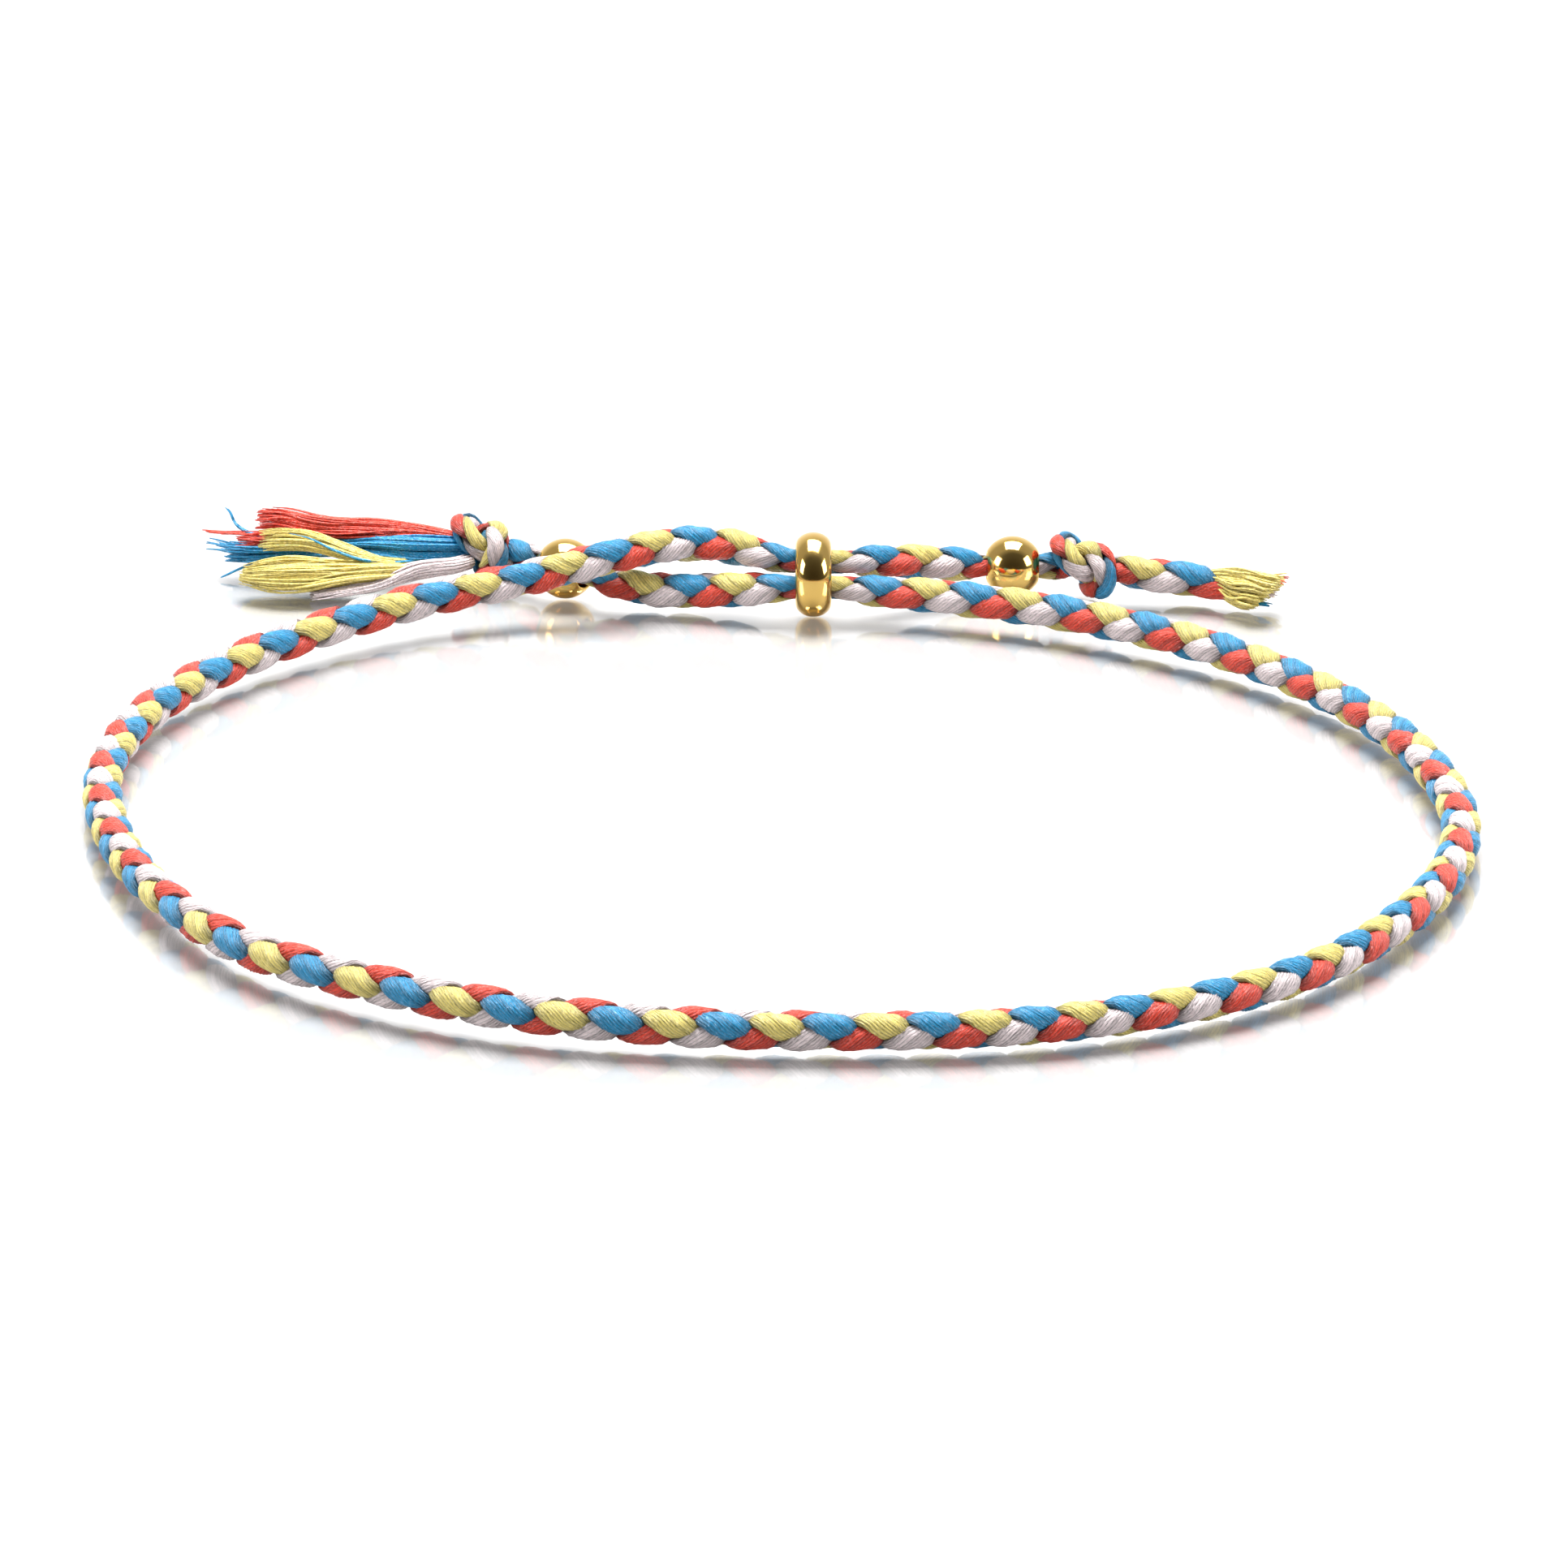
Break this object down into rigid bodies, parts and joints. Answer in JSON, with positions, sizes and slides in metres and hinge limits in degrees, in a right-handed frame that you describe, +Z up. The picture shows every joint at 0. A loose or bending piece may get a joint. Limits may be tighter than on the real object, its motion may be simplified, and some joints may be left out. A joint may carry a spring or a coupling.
{
  "type": "adjustable braided thread bracelet with gold beads",
  "caption": "Thin braided cord bracelet lying as a loop, with both ends through one sliding gold ring bead, and a gold ball bead, a knot and loose threads at each end.",
  "frame": {"origin": "centre of the bounding box, on the table that the bracelet lies on", "axes": "+Z up from the table, +Y from the front of the loop towards the beads, +X towards the short braided end"},
  "size_m": [0.0652, 0.0738, 0.0042],
  "materials": {
    "blue_thread": "twisted cotton thread, soft sheen",
    "yellow_thread": "twisted cotton thread, soft sheen",
    "coral_thread": "twisted cotton thread, soft sheen",
    "white_thread": "twisted cotton thread, soft sheen",
    "gold_plate": "polished gold plate"
  },
  "bodies": {
    "root": {"braided_cord": "blue_thread", "cord_tail": "white_thread", "knot_left": "yellow_thread", "knot_right": "yellow_thread", "tassel": "coral_thread", "tuft": "yellow_thread", "sliding_bead": "gold_plate", "ball_bead_left": "gold_plate", "ball_bead_right": "gold_plate"}
  },
  "joints": []
}
